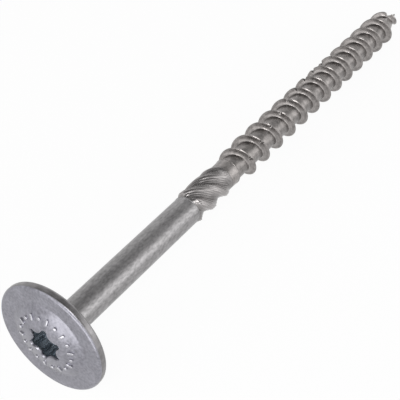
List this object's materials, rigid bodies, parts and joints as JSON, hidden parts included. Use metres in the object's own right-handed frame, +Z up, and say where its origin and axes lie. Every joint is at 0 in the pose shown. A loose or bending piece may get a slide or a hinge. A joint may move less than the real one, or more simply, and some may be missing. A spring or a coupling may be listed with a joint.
{
  "type": "timber screw",
  "caption": "Long steel timber screw with a wide washer head, six-lobe drive recess, smooth shank, shank cutter, coarse notched thread and cut point, lying at rest.",
  "frame": {"origin": "Middle of the lying screw's length and width, on the surface that it rests on.", "axes": "+X towards the point, seen from above; +Z up. The screw rests on the rim of its head and on its last full thread crest, so its axis dips by 3.1 degrees towards the point."},
  "size_m": [0.1414, 0.022, 0.022],
  "materials": {
    "zinc_steel": "blue-white zinc plating, satin, with fine handling marks"
  },
  "bodies": {
    "root": {"screw": "zinc_steel"}
  },
  "joints": []
}
